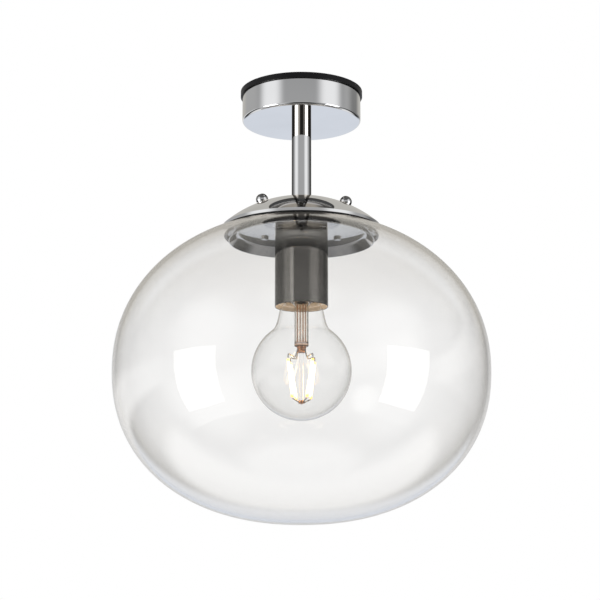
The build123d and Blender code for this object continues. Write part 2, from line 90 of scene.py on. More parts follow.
def turnedMesh(name, outline, around=256, open=False):  # outline in mm, turned about Z
    verts, faces, rings = [], [], []
    for r, z in outline:
        if r < samePoint:
            rings.append([len(verts)])
            verts.append((0, 0, z * mm))
            continue
        rings.append(list(range(len(verts), len(verts) + around)))
        for k in range(around):
            a = 2 * math.pi * k / around
            verts.append((r * mm * math.cos(a), r * mm * math.sin(a), z * mm))
    pairs = list(zip(rings, rings[1:]))
    if not open:
        pairs.append((rings[-1], rings[0]))
    for low, high in pairs:
        for k in range(around):
            n = (k + 1) % around
            if len(low) == 1 and len(high) == 1:
                continue
            if len(low) == 1:
                faces.append((low[0], high[n], high[k]))
            elif len(high) == 1:
                faces.append((low[k], low[n], high[0]))
            else:
                faces.append((low[k], low[n], high[n], high[k]))
    mesh = bpy.data.meshes.new(name)
    mesh.from_pydata(verts, [], faces)
    return smoothMesh(mesh)


def rodMesh(name, radius, low, high, around):  # a plain rod along Z, to cut with
    return turnedMesh(name, [(0, low), (radius, low), (radius, high), (0, high)], around, open=True)


def newPiece(name, data):
    piece = bpy.data.objects.new(name, data)
    bpy.context.scene.collection.objects.link(piece)
    return piece


def turnedPiece(name, outline, around=256, open=False):
    return newPiece(name, turnedMesh(name, outline, around, open))


def plainMesh(piece):  # what the modifiers make of it, as a mesh of its own
    graph = bpy.context.evaluated_depsgraph_get()
    mesh = bpy.data.meshes.new_from_object(piece.evaluated_get(graph))
    piece.modifiers.clear()
    piece.data = mesh
    return mesh


def cutAway(piece, cutters):
    for cutter in cutters:
        cut = piece.modifiers.new("cut", "BOOLEAN")
        cut.operation = "DIFFERENCE"
        cut.solver = "EXACT"
        cut.object = cutter
    mesh = plainMesh(piece)
    for cutter in cutters:
        bpy.data.objects.remove(cutter)
    return soften(mesh)


def trueNormals(mesh, rule):  # normals from the true surface, so a mirror shows no facets round a cut
    mesh.update()
    corners = [Vector(n.vector) for n in mesh.corner_normals]
    for face in mesh.polygons:
        for loop in face.loop_indices:
            true = rule(mesh.vertices[mesh.loops[loop].vertex_index].co, face.normal)
            if true is not None:
                corners[loop] = true.normalized()
    mesh.normals_split_custom_set(corners)


def spin(angle):  # a turn about the light's axis, in degrees
    return Matrix.Rotation(math.radians(angle), 4, "Z")


def lift(z):  # a shift along it, in mm
    return Matrix.Translation((0, 0, z * mm))


def dress(piece, body, slotName, node, material=None):  # the slot's own finish unless told otherwise
    piece.data.materials.clear()
    piece.data.materials.append(material or finishes[slotName])
    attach(piece, body)
    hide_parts(node)
    return piece


# node helpers

def fill(tree, node, inputs):  # each input takes a link, or a value in its own form
    for title, value in inputs.items():
        socket = node.inputs[title]
        if isinstance(value, bpy.types.NodeSocket):
            tree.links.new(value, socket)
        elif socket.type == "RGBA":
            socket.default_value = (*(value if isinstance(value, tuple) else (value,) * 3), 1)
        else:
            socket.default_value = value
    return node


def addNode(tree, kind, inputs, **settings):
    node = tree.nodes.new(kind)
    for title, value in settings.items():
        setattr(node, title, value)
    return fill(tree, node, inputs)


def newTree(name, kind, inputs, outputs):  # a word is a socket's kind, anything else its preset
    tree = bpy.data.node_groups.new(name, kind)
    kinds = {float: "Float", int: "Int", tuple: "Color"}
    for way, sockets in (("INPUT", inputs), ("OUTPUT", outputs)):
        for title, value in sockets.items():
            word = value if isinstance(value, str) else kinds[type(value)]
            socket = tree.interface.new_socket(title, in_out=way, socket_type="NodeSocket" + word)
            if not isinstance(value, str):
                socket.default_value = (*value, 1) if word == "Color" else value
    return tree, tree.nodes.new("NodeGroupInput").outputs, tree.nodes.new("NodeGroupOutput")


def sums(tree, how, *values):  # one Math node
    return addNode(tree, "ShaderNodeMath", dict(enumerate(values)), operation=how).outputs[0]


def rise(tree, value, low, high, top=1.0, how="LINEAR"):  # 0 at low, top at high
    inputs = {"Value": value, "From Min": low, "From Max": high, "To Max": top}
    return addNode(tree, "ShaderNodeMapRange", inputs, interpolation_type=how).outputs["Result"]


def blend(tree, share, first, second):  # two colours or greys
    return addNode(tree, "ShaderNodeMix", {0: share, 6: first, 7: second}, data_type="RGBA").outputs[2]


def split(tree, vector):
    return addNode(tree, "ShaderNodeSeparateXYZ", {0: vector}).outputs


def vectorOf(tree, **axes):
    return addNode(tree, "ShaderNodeCombineXYZ", axes).outputs[0]


def noiseOf(tree, vector, scale, detail, stretch=None):
    if stretch:
        vector = addNode(tree, "ShaderNodeMapping", {"Vector": vector, "Scale": stretch}).outputs["Vector"]
    inputs = {"Vector": vector, "Scale": scale, "Detail": detail}
    return addNode(tree, "ShaderNodeTexNoise", inputs).outputs["Fac"]


def axisReach(tree, place):  # how far a point lies from the light's own axis
    flat = addNode(tree, "ShaderNodeVectorMath", {0: place, 1: (1.0, 1.0, 0.0)}, operation="MULTIPLY")
    reach = addNode(tree, "ShaderNodeVectorMath", {0: flat.outputs["Vector"]}, operation="LENGTH")
    return reach.outputs["Value"]


# shader groups

polishLook = {"cloudDetail": 4.0, "clean": 0.45, "hazy": 0.75, "hairScale": 90.0, "hairDetail": 2.0,
              "hairStretch": (1.0, 1.0, 24.0), "hairShare": 0.35, "waveScale": 34.0, "waveDetail": 1.0,
              "depth": 0.0004}


def makePolishMarks(c):  # smudges and hairlines on plated metal
    group, src, out = newTree(
        "polishMarks", "ShaderNodeTree", {"Vector": "Vector", "Rough": 0.03, "Smudge": 0.04, "Scale": 20.0},
        {"Roughness": "Float", "Height": "Float", "Haze": "Float"})
    place = src["Vector"]
    haze = rise(group, noiseOf(group, place, src["Scale"], c["cloudDetail"]), c["clean"], c["hazy"])
    hair = noiseOf(group, place, c["hairScale"], c["hairDetail"], c["hairStretch"])
    marks = sums(group, "MULTIPLY_ADD", hair, c["hairShare"], haze)
    rough = sums(group, "MULTIPLY_ADD", marks, src["Smudge"], src["Rough"])
    wave = noiseOf(group, place, c["waveScale"], c["waveDetail"])
    fill(group, out, {"Roughness": rough, "Height": wave, "Haze": haze})
    return group


mouldLook = {"grainDetail": 2.0, "cloudScale": 35.0, "cloudDetail": 4.0, "cloudFall": 2.0, "paleShare": 1.4,
             "cloudRough": 0.7, "grainRough": 0.3, "depth": 0.0001}


def makeMouldGrain(c):  # fine skin of moulded and glazed pieces
    group, src, out = newTree(
        "mouldGrain", "ShaderNodeTree",
        {"Vector": "Vector", "Color": (0.5, 0.5, 0.5), "Pale": (0.6, 0.6, 0.6), "Scale": 900.0, "Rough": 0.4,
         "Spread": 0.12},
        {"Color": "Color", "Roughness": "Float", "Height": "Float"})
    grain = noiseOf(group, src["Vector"], src["Scale"], c["grainDetail"])
    cloud = noiseOf(group, src["Vector"], c["cloudScale"], c["cloudDetail"])
    pale = sums(group, "MULTIPLY", sums(group, "POWER", cloud, c["cloudFall"]), c["paleShare"])
    fine = sums(group, "MULTIPLY", grain, c["grainRough"])
    both = sums(group, "MULTIPLY_ADD", cloud, c["cloudRough"], fine)
    rough = sums(group, "MULTIPLY_ADD", both, src["Spread"], src["Rough"])
    color = blend(group, pale, src["Color"], src["Pale"])
    fill(group, out, {"Color": color, "Roughness": rough, "Height": grain})
    return group


glassLook = {"waveDetail": 1.0, "speckScale": 60.0, "speckDetail": 5.0, "clean": 0.58, "dusty": 0.8,
             "depth": 0.002}


def makeGlassFlow(c):  # slow waves of blown glass and a little dust
    group, src, out = newTree(
        "glassFlow", "ShaderNodeTree", {"Vector": "Vector", "Scale": 9.0, "Dust": 0.01},
        {"Roughness": "Float", "Height": "Float"})
    wave = noiseOf(group, src["Vector"], src["Scale"], c["waveDetail"])
    speck = noiseOf(group, src["Vector"], c["speckScale"], c["speckDetail"])
    rough = sums(group, "MULTIPLY", rise(group, speck, c["clean"], c["dusty"]), src["Dust"])
    fill(group, out, {"Roughness": rough, "Height": wave})
    return group


polishMarks = makePolishMarks(polishLook)
mouldGrain = makeMouldGrain(mouldLook)
glassFlow = makeGlassFlow(glassLook)


# finishes

def newMaterial(name):
    material = bpy.data.materials.new(name)
    material.use_nodes = True
    tree = material.node_tree
    place = tree.nodes.new("ShaderNodeTexCoord").outputs["Object"]
    return material, tree, tree.nodes["Principled BSDF"], place


def useGroup(tree, group, place, **values):
    return addNode(tree, "ShaderNodeGroup", {"Vector": place, **values}, node_tree=group).outputs


def bumped(tree, shader, height, strength, distance):
    bump = addNode(tree, "ShaderNodeBump", {"Strength": strength, "Distance": distance, "Height": height})
    fill(tree, shader, {"Normal": bump.outputs["Normal"]})


def platedMetal(name, bright, dull, rough, smudge, scale=20.0, wave=0.02, edge=None, paintedGlow=None):
    material, tree, shader, place = newMaterial(name)
    marks = useGroup(tree, polishMarks, place, Rough=rough, Smudge=smudge, Scale=scale)
    color = blend(tree, marks["Haze"], bright, dull)
    if edge:  # painted reflection: the base colour darkens where the surface turns from the view, standing in for the studio's dark wings mirrored along a narrow rod's sides
        slant = tree.nodes.new("ShaderNodeLayerWeight").outputs["Facing"]
        color = blend(tree, rise(tree, slant, edge["start"], edge["full"]), color, edge["color"])
    if paintedGlow:  # painted light: the hollow side is given an emission glow that stands in for the bulb's light on it
        hollow = sums(tree, "LESS_THAN", axisReach(tree, place), paintedGlow["reach"] * mm)
        glow = sums(tree, "MULTIPLY_ADD", marks["Haze"], paintedGlow["spread"], paintedGlow["glow"])
        glow = sums(tree, "MULTIPLY", hollow, glow)
        fill(tree, shader, {"Emission Color": paintedGlow["color"], "Emission Strength": glow})
    fill(tree, shader, {"Base Color": color, "Roughness": marks["Roughness"], "Metallic": 1.0})
    bumped(tree, shader, marks["Height"], wave, polishLook["depth"])
    return material


def moulded(name, color, pale, rough, spread, scale=900.0, relief=0.1, shine=0.5, lit=None):
    material, tree, shader, place = newMaterial(name)
    grain = useGroup(tree, mouldGrain, place, Color=color, Pale=pale, Scale=scale, Rough=rough, Spread=spread)
    fill(tree, shader, {"Base Color": grain["Color"], "Roughness": grain["Roughness"],
                        "Specular IOR Level": shine})
    if lit:  # painted light: an emission glow standing in for the bulb's warm light on the end next to it
        glow = rise(tree, split(tree, place)["Z"], lit["farZ"] * mm, lit["nearZ"] * mm, lit["glow"])
        fill(tree, shader, {"Emission Color": lit["color"], "Emission Strength": glow})
    bumped(tree, shader, grain["Height"], relief, mouldLook["depth"])
    return material


def clearGlass(name, tint, ior, dust, scale, wave, band=None):
    material, tree, shader, place = newMaterial(name)
    flow = useGroup(tree, glassFlow, place, Dust=dust, Scale=scale)
    fill(tree, shader, {"Base Color": tint, "Transmission Weight": 1.0, "IOR": ior,
                        "Roughness": flow["Roughness"]})
    bumped(tree, shader, flow["Height"], wave, glassLook["depth"])
    if band:  # the tint grows deeper towards one end
        share = rise(tree, split(tree, place)["Z"], band["clearZ"] * mm, band["deepZ"] * mm)
        fill(tree, shader, {"Base Color": blend(tree, share, tint, band["tint"])})
    return material


hotLook = {"topZ": -224.4, "lowZ": -254.4, "glow": 2.4,
           "stops": ((0.03, (0.9, 0.42, 0.05)), (0.12, (1.0, 0.86, 0.6)),
                     (0.88, (1.0, 0.86, 0.6)), (0.97, (0.9, 0.42, 0.05))),
           "skin": {"Color": (0.95, 0.7, 0.3), "Pale": (1.0, 0.85, 0.5), "Scale": 1500.0, "Rough": 0.4,
                    "Spread": 0.1}}


def litFilament(name, c):  # hot white middle, yellow ends
    material, tree, shader, place = newMaterial(name)
    share = rise(tree, split(tree, place)["Z"], c["lowZ"] * mm, c["topZ"] * mm)
    ramp = addNode(tree, "ShaderNodeValToRGB", {"Fac": share})
    stops = ramp.color_ramp.elements
    for k, (position, color) in enumerate(c["stops"]):
        stop = stops[k] if k < len(stops) else stops.new(position)
        stop.position = position
        stop.color = (*color, 1)
    skin = useGroup(tree, mouldGrain, place, **c["skin"])
    fill(tree, shader, {"Base Color": skin["Color"], "Roughness": skin["Roughness"],
                        "Emission Color": ramp.outputs["Color"], "Emission Strength": c["glow"]})
    return material


chromeLook = ((0.82, 0.825, 0.835), (0.78, 0.785, 0.795), 0.015, 0.025)
finishes = {
    "black_plastic": moulded("blackMoulding", (0.006, 0.006, 0.007), (0.011, 0.011, 0.012), 0.34, 0.12,
                             shine=0.16),
    "rubber": moulded("blackRubber", (0.02, 0.02, 0.02), (0.045, 0.045, 0.045), 0.62, 0.2, 700.0, 0.2),
    # painted shadow: near black, for the shaded gap between the dome's rim and the glass
    "silicone": moulded("paintedShadowSilicone", (0.012, 0.012, 0.012), (0.02, 0.02, 0.02), 0.5, 0.1, shine=0.2),
    "steel": platedMetal("zincSteel", (0.62, 0.62, 0.62), (0.48, 0.48, 0.47), 0.26, 0.16, 60.0, 0.06),
    "chrome": platedMetal("mirrorChrome", *chromeLook),
    # painted light: the sleeve's inside glows warm as if lit by the bulb
    "dark_chrome": platedMetal("smokedChrome", (0.21, 0.203, 0.19), (0.18, 0.173, 0.161), 0.05, 0.06, paintedGlow={
        "reach": 20.75, "color": (1.0, 0.74, 0.50), "glow": 0.32, "spread": 0.25}),
    "brass": platedMetal("brightBrass", (0.78, 0.58, 0.25), (0.6, 0.43, 0.18), 0.2, 0.15, 80.0, 0.05),
    # painted light: the lampholder's lower end glows warm as if lit by the bulb
    "white_plastic": moulded("whiteMoulding", (0.8, 0.8, 0.78), (0.86, 0.86, 0.84), 0.4, 0.12, lit={
        "farZ": -165.0, "nearZ": -177.0, "color": (1.0, 0.72, 0.46), "glow": 0.36}),
    "ceramic": moulded("glazedCeramic", (0.82, 0.8, 0.76), (0.9, 0.88, 0.85), 0.16, 0.12, 300.0),
    "brown_wire": moulded("brownInsulation", (0.2, 0.08, 0.03), (0.28, 0.13, 0.06), 0.4, 0.12),
    "blue_wire": moulded("blueInsulation", (0.05, 0.14, 0.4), (0.09, 0.2, 0.48), 0.4, 0.12),
    "green_wire": moulded("greenInsulation", (0.25, 0.45, 0.06), (0.5, 0.6, 0.1), 0.4, 0.12),
    "shade_glass": clearGlass("blownGlass", (0.998, 0.996, 0.992), 1.5, 0.012, 7.0, 0.012, {
        "clearZ": -165.0, "deepZ": -135.0, "tint": (0.945, 0.935, 0.92)}),  # the tint deepens towards the hole
    "bulb_glass": clearGlass("thinGlass", (0.998, 0.998, 0.994), 1.33, 0.01, 16.0, 0.02),
    "nickel": platedMetal("nickelPlate", (0.72, 0.7, 0.66), (0.6, 0.58, 0.54), 0.16, 0.14, 70.0, 0.05),
    "black_glass": moulded("blackVitrite", (0.012, 0.012, 0.014), (0.03, 0.03, 0.032), 0.12, 0.15, 400.0),
    "copper": platedMetal("copperBand", (0.8, 0.45, 0.28), (0.6, 0.3, 0.17), 0.22, 0.15, 120.0, 0.05),
    "filament": litFilament("hotPhosphor", hotLook),
}
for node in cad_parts.values():  # every solid that stays shown gets its finish
    for k, made in enumerate(node.data.materials):
        key = made.name.split(".")[0]
        if key in finishes:
            node.data.materials[k] = finishes[key]
print("finishes made,", len(finishes))


# canopy and stem

canopyCup = {"outerR": 48.5, "topZ": -4.5, "lowZ": -26.5, "edgeR": 2.2, "lipR": 0.35, "wall": 1.0,
             "boreR": 5.25, "sideHoleR": 2.1, "sideHoleZ": -14.1, "drillEnd": 60.0, "near": 0.02,
             "clear": 0.1, "upright": 0.01}


def makeCanopy(c):
    inner = c["outerR"] - c["wall"]
    lip = c["lipR"]
    r0 = c["outerR"] - c["edgeR"]
    z0 = c["lowZ"] + c["edgeR"]
    outline = joined(
        run((c["boreR"], c["lowZ"]), (r0, c["lowZ"])),
        bend(r0, z0, c["edgeR"], -90, 0, 24),
        run((c["outerR"], z0), (c["outerR"], c["topZ"] - lip)),
        bend(c["outerR"] - lip, c["topZ"] - lip, lip, 0, 90, 5),
        run((c["outerR"] - lip, c["topZ"]), (inner, c["topZ"]), 2),
        run((inner, c["topZ"]), (inner, z0)),
        bend(r0, z0, c["edgeR"] - c["wall"], 0, -90, 12),
        run((r0, c["lowZ"] + c["wall"]), (c["boreR"], c["lowZ"] + c["wall"])),
    )
    piece = turnedPiece("canopyCup", outline)
    drill = rodMesh("drill", c["sideHoleR"], -c["drillEnd"], c["drillEnd"], 40)
    drill.transform(lift(c["sideHoleZ"]) @ Matrix.Rotation(math.pi / 2, 4, "Y"))
    mesh = cutAway(piece, [newPiece("drill", drill)])

    def wallNormal(p, n):  # upright outside, above the rounded edge
        onWall = abs(math.hypot(p.x, p.y) / mm - c["outerR"]) < c["near"] and p.z / mm > z0 + c["clear"]
        return Vector((p.x, p.y, 0)) if onWall and abs(n.z) < c["upright"] else None

    trueNormals(mesh, wallNormal)
    return piece


dress(makeCanopy(canopyCup), "fixture", "chrome", "canopy")

stemTube = {"outerR": 8.0, "topZ": -26.5, "lowZ": -91.2, "endR": 2.2, "boreR": 5.25}


def makeStem(c):
    r0 = c["outerR"] - c["endR"]
    z0 = c["lowZ"] + c["endR"]
    outline = joined(
        run((c["boreR"], c["lowZ"]), (r0, c["lowZ"]), 2),
        bend(r0, z0, c["endR"], -90, 0, 20),
        run((c["outerR"], z0), (c["outerR"], c["topZ"]), 8, 0.006),
        run((c["outerR"], c["topZ"]), (c["boreR"], c["topZ"]), 2),
        run((c["boreR"], c["topZ"]), (c["boreR"], c["lowZ"]), 2),
    )
    return turnedPiece("stemTube", outline, 160)


# chrome with a painted dark reflection along its sides, for the stem and the ball screws
paintedEdgeChrome = platedMetal("paintedEdgeChrome", *chromeLook, edge={
    "start": 0.37, "full": 0.50, "color": (0.07, 0.07, 0.07)})
dress(makeStem(stemTube), "fixture", "chrome", "stem_tube", paintedEdgeChrome)
print("canopy and stem made")


# dome, its soft ring and the three ball screws

holderDome = {"sphereR": 97.0, "sphereZ": -187.947, "flatR": 7.0, "flatZ": -91.2, "rimR": 64.0,
              "rimZ": -115.058, "lipZ": -117.658, "edge": 0.3, "wall": 1.2, "boreR": 5.25, "screwHoleR": 2.06,
              "drillOver": 4.0, "near": 0.03, "clear": 0.05, "facing": 0.97}
ballScrew = {"ballR": 4.9, "poleAngle": 88.0, "rise": 1.2, "gap": 0.3, "ringR": 38.9, "shankR": 2.0,
             "shankDrop": 0.1, "shankEnd": 90.3, "chamfer": 0.3, "socketAcross": 2.5, "socketDeep": 2.2,
             "keyLong": 6.0}
screwAngles = [96.0, 216.0, 336.0]


def onDome(mesh, angle):  # made along Z from the dome's centre, then leaned out and turned
    tilt = math.asin(ballScrew["ringR"] / (holderDome["sphereR"] + ballScrew["rise"]))
    mesh.transform(spin(angle) @ lift(holderDome["sphereZ"]) @ Matrix.Rotation(tilt, 4, "Y"))
    return mesh


def makeDome(c):
    inner = c["sphereR"] - c["wall"]
    low = c["rimR"] - c["wall"]
    edge = c["edge"]
    top, rim = [arcAngle(r, c["sphereR"]) for r in (c["flatR"], c["rimR"])]
    outline = joined(
        [(c["boreR"], c["flatZ"])],
        bend(0, c["sphereZ"], c["sphereR"], top, rim, 64),
        run((c["rimR"], c["rimZ"] - edge), (c["rimR"], c["lipZ"] + edge), 3),
        run((c["rimR"] - edge, c["lipZ"]), (low, c["lipZ"]), 2),
        bend(0, c["sphereZ"], inner, arcAngle(low, inner), arcAngle(c["boreR"], inner), 24),
    )
    piece = turnedPiece("holderDome", outline)
    drills = []
    for angle in screwAngles:
        drill = rodMesh("drill", c["screwHoleR"], inner - c["drillOver"], c["sphereR"] + c["drillOver"], 40)
        drills.append(newPiece("drill", onDome(drill, angle)))
    mesh = cutAway(piece, drills)
    centre = Vector((0, 0, c["sphereZ"] * mm))

    def ballNormal(p, n):  # outside of the sphere, above the rim
        out = p - centre
        onBall = abs(out.length / mm - c["sphereR"]) < c["near"] and p.z / mm > c["rimZ"] + c["clear"]
        return out if onBall and n.dot(out.normalized()) > c["facing"] else None

    trueNormals(mesh, ballNormal)
    return piece


dress(makeDome(holderDome), "fixture", "chrome", "holder_dome")

seatRing = {"outerR": 64.0, "innerR": 62.8, "topZ": -117.658, "outerZ": -118.36, "innerZ": -117.9,
            "bulge": 0.12, "bulgeDrop": 0.3}


def makeSeatRing(c):
    outline = [(c["innerR"], c["topZ"]), (c["outerR"], c["topZ"]),
               (c["outerR"] + c["bulge"], c["topZ"] - c["bulgeDrop"]),
               (c["outerR"], c["outerZ"]), (c["innerR"], c["innerZ"])]
    return turnedPiece("seatRing", outline, 192)


dress(makeSeatRing(seatRing), "fixture", "silicone", "seat_ring")


def makeScrew(number, angle, c):
    far = holderDome["sphereR"] + c["rise"]
    seat = holderDome["sphereR"] + c["gap"]
    footZ = (far**2 - c["ballR"] ** 2 + seat**2) / (2 * far)
    footR = math.sqrt(seat**2 - footZ**2)
    foot = math.degrees(math.asin((footZ - far) / c["ballR"]))
    outline = joined(
        [(0, far + c["ballR"])],
        bend(0, far, c["ballR"], c["poleAngle"], foot, 48),
        bend(0, 0, seat, arcAngle(footR, seat), arcAngle(c["shankR"], seat), 4),
        run((c["shankR"], seat - c["shankDrop"]), (c["shankR"], c["shankEnd"] + c["chamfer"]), 3),
        [(c["shankR"] - c["chamfer"], c["shankEnd"]), (0, c["shankEnd"])],
    )
    piece = newPiece(f"ballScrew{number}", turnedMesh("ballScrew", outline, 72, open=True))
    deep = far + c["ballR"] - c["socketDeep"]
    key = rodMesh("key", c["socketAcross"] / math.sqrt(3), deep, deep + c["keyLong"], 6)
    onDome(cutAway(piece, [newPiece("key", key)]), angle)
    return dress(piece, f"screw_{number}", "chrome", f"ball_screw_{number}", paintedEdgeChrome)


for k, angle in enumerate(screwAngles):
    makeScrew(k + 1, angle, ballScrew)
print("dome, ring and ball screws made")


# blown shade, a Geometry Nodes surface

def grownPiece(name, tree, values, sharpAngle=32):  # what a node tree makes, as a plain mesh
    piece = newPiece(name, bpy.data.meshes.new(name))
    step = piece.modifiers.new(tree.name, "NODES")
    step.node_group = tree
    for item in tree.interface.items_tree:  # inputs go by identifier
        if item.in_out == "INPUT" and item.name in values:
            step[item.identifier] = values[item.name]
    smoothMesh(plainMesh(piece), sharpAngle)
    return piece


def shapeTree(name, inputs):
    return newTree(name, "GeometryNodeTree", {**inputs, "Material": "Material"}, {"Geometry": "Geometry"})


def finishTree(tree, geometry, material, out):
    real = addNode(tree, "GeometryNodeRealizeInstances", {"Geometry": geometry}).outputs["Geometry"]
    coat = addNode(tree, "GeometryNodeSetMaterial", {"Geometry": real, "Material": material})
    fill(tree, out, {"Geometry": coat.outputs["Geometry"]})


blownShade = {"Wide": 0.150, "Up": 0.1245, "Down": 0.121, "Power Up": 2.10, "Power Down": 2.22, "Wall": 0.003,
              "Hole": 0.061, "Equator": -0.2326, "Fire Polish": 0.0005, "Around": 256, "Rows": 110}


def makeShadeTree(c):
    tree, put, out = shapeTree("blownShadeTree", c)

    def m(how, *values):
        return sums(tree, how, *values)

    def sheetGrid(rows):  # X of the sheet becomes an angle round the axis, Y a share from 0 to 1
        grid = addNode(tree, "GeometryNodeMeshGrid", {
            "Size X": 1.0, "Size Y": 1.0, "Vertices X": put["Around"], "Vertices Y": rows})
        spot = split(tree, tree.nodes.new("GeometryNodeInputPosition").outputs[0])
        turn = m("MULTIPLY", m("ADD", spot["X"], 0.5), 2 * math.pi)
        return grid.outputs["Mesh"], turn, m("ADD", spot["Y"], 0.5)

    def swept(mesh, turn, r, z):
        spot = vectorOf(tree, X=m("MULTIPLY", r, m("COSINE", turn)), Y=m("MULTIPLY", r, m("SINE", turn)),
                        Z=m("ADD", z, put["Equator"]))
        move = addNode(tree, "GeometryNodeSetPosition", {"Geometry": mesh, "Position": spot})
        return move.outputs["Geometry"]

    def skin(wall):
        wide = m("SUBTRACT", put["Wide"], wall)
        up = m("SUBTRACT", put["Up"], wall)
        down = m("SUBTRACT", put["Down"], wall)
        mesh, turn, share = sheetGrid(put["Rows"])
        ratio = m("POWER", m("DIVIDE", put["Hole"], wide), m("DIVIDE", put["Power Up"], 2.0))
        last = m("ARCCOSINE", ratio)  # where the curve reaches the hole
        angle = m("MULTIPLY_ADD", share, m("ADD", last, math.pi / 2), -math.pi / 2)
        above = m("GREATER_THAN", angle, 0.0)
        lean = m("MULTIPLY_ADD", above, m("SUBTRACT", put["Power Up"], put["Power Down"]), put["Power Down"])
        tall = m("MULTIPLY_ADD", above, m("SUBTRACT", up, down), down)
        exponent = m("DIVIDE", 2.0, lean)
        r = m("MULTIPLY", wide, m("POWER", m("MAXIMUM", m("COSINE", angle), 0.0), exponent))
        height = m("POWER", m("ABSOLUTE", m("SINE", angle)), exponent)
        z = m("MULTIPLY", m("MULTIPLY", tall, height), m("SIGN", angle))
        edge = m("MULTIPLY", up, m("POWER", m("SINE", last), m("DIVIDE", 2.0, put["Power Up"])))
        return swept(mesh, turn, r, z), edge

    outer, outerEdge = skin(0.0)
    inner, innerEdge = skin(put["Wall"])
    mesh, turn, share = sheetGrid(9)
    bulge = m("MULTIPLY", put["Fire Polish"], m("SINE", m("MULTIPLY", share, math.pi)))
    rimZ = m("MULTIPLY_ADD", m("SUBTRACT", innerEdge, outerEdge), share, outerEdge)
    rim = swept(mesh, turn, m("SUBTRACT", put["Hole"], bulge), rimZ)
    join = tree.nodes.new("GeometryNodeJoinGeometry")
    for part in (outer, inner, rim):
        tree.links.new(part, join.inputs["Geometry"])
    weld = addNode(tree, "GeometryNodeMergeByDistance", {
        "Geometry": join.outputs["Geometry"], "Distance": 2 * samePoint})
    finishTree(tree, weld.outputs["Geometry"], put["Material"], out)
    return tree


def makeShade(c):
    piece = grownPiece("blownShade", makeShadeTree(c), {**c, "Material": finishes["shade_glass"]}, 40)
    return dress(piece, "fixture", "shade_glass", "glass_shade")


makeShade(blownShade)
print("shade made")


# dish, its screws and the sleeve

holderDish = {"rimR": 59.5, "topZ": -116.2, "deep": 8.8, "wall": 1.0, "bendR": 5.0, "slope": 55.0,
              "boreR": 5.25, "screwHoleR": 1.7, "screwRing": 34.8, "screwTurn": 31.0, "screws": 3,
              "drillLow": -122.0, "drillTop": -110.0, "near": 0.01, "facing": 0.999}


def makeDish(c):
    slant = math.radians(c["slope"])
    along, down = math.cos(slant), math.sin(slant)
    wall, radius = c["wall"], c["bendR"]
    flank = (c["deep"] - radius * (1 - along) - wall * along) / down
    r0 = c["rimR"] - radius * down - flank * along
    z0 = c["topZ"] - radius
    endR, endZ = c["rimR"], c["topZ"] - radius * (1 - along) - flank * down
    midR, midZ = endR - wall / 2 * down, endZ - wall / 2 * along
    lowStart = (r0 + (radius - wall) * down, z0 + (radius - wall) * along)
    outline = joined(
        run((c["boreR"], c["topZ"]), (r0, c["topZ"])),
        bend(r0, z0, radius, 90, 90 - c["slope"], 20),
        run((r0 + radius * down, z0 + radius * along), (endR, endZ), 3),
        bend(midR, midZ, wall / 2, 90 - c["slope"], -90 - c["slope"], 10),
        run((endR - wall * down, endZ - wall * along), lowStart, 3),
        bend(r0, z0, radius - wall, 90 - c["slope"], 90, 20),
        run((r0, c["topZ"] - wall), (c["boreR"], c["topZ"] - wall)),
    )
    piece = turnedPiece("holderDish", outline)
    drills = []
    for k in range(c["screws"]):
        drill = rodMesh("drill", c["screwHoleR"], c["drillLow"], c["drillTop"], 32)
        out = Matrix.Translation((c["screwRing"] * mm, 0, 0))
        drill.transform(spin(c["screwTurn"] + 360 / c["screws"] * k) @ out)
        drills.append(newPiece("drill", drill))
    mesh = cutAway(piece, drills)

    def floorNormal(p, n):  # underside of the flat floor
        onFloor = abs(p.z / mm - c["topZ"] + wall) < c["near"] and math.hypot(p.x, p.y) / mm < r0 + c["near"]
        return Vector((0, 0, -1)) if onFloor and -n.z > c["facing"] else None

    trueNormals(mesh, floorNormal)
    return piece


dress(makeDish(holderDish), "fixture", "chrome", "holder_dish")

dishScrew = {"headR": 3.2, "headH": 2.0, "edgeR": 0.9, "crownR": 1.2, "crownH": (0.12, 0.1), "slotLong": 9.0,
             "slotW": 0.8, "slotD": 0.8, "shankR": 1.55, "lowZ": -117.2, "topZ": -108.2,
             "Ring Radius": 0.0348, "Count": 3, "Start Angle": math.radians(31.0)}


def makeScrewHead(c):
    edge = c["edgeR"]
    z = c["lowZ"]
    face = z - c["headH"]
    outline = joined(
        [(0, face - c["crownH"][0]), (c["crownR"], face - c["crownH"][1])],
        bend(c["headR"] - edge, face + edge, edge, -90, 0, 8),
        [(c["headR"], z), (c["shankR"], z), (c["shankR"], c["topZ"]), (0, c["topZ"])],
    )
    head = turnedPiece("screwHead", outline, 40, open=True)
    bar = bpy.data.meshes.new("bar")
    bm = bmesh.new()
    bmesh.ops.create_cube(bm, size=1.0)
    bm.to_mesh(bar)
    bm.free()
    bar.transform(lift(face) @ Matrix.Diagonal((c["slotLong"] * mm, c["slotW"] * mm, 2 * c["slotD"] * mm, 1)))
    cutAway(head, [newPiece("bar", bar)])
    return head


def copiesRound(tree, put, geometry, out):  # copies of a geometry on a ring about the axis
    index = tree.nodes.new("GeometryNodeInputIndex").outputs[0]
    part = sums(tree, "DIVIDE", index, put["Count"])
    angle = sums(tree, "MULTIPLY_ADD", part, 2 * math.pi, put["Start Angle"])
    x, y = [sums(tree, "MULTIPLY", sums(tree, how, angle), put["Ring Radius"]) for how in ("COSINE", "SINE")]
    spot = vectorOf(tree, X=x, Y=y)
    points = addNode(tree, "GeometryNodePoints", {"Count": put["Count"], "Position": spot})
    copies = addNode(tree, "GeometryNodeInstanceOnPoints", {
        "Points": points.outputs[0], "Instance": geometry, "Rotation": vectorOf(tree, Z=angle)})
    finishTree(tree, copies.outputs["Instances"], put["Material"], out)


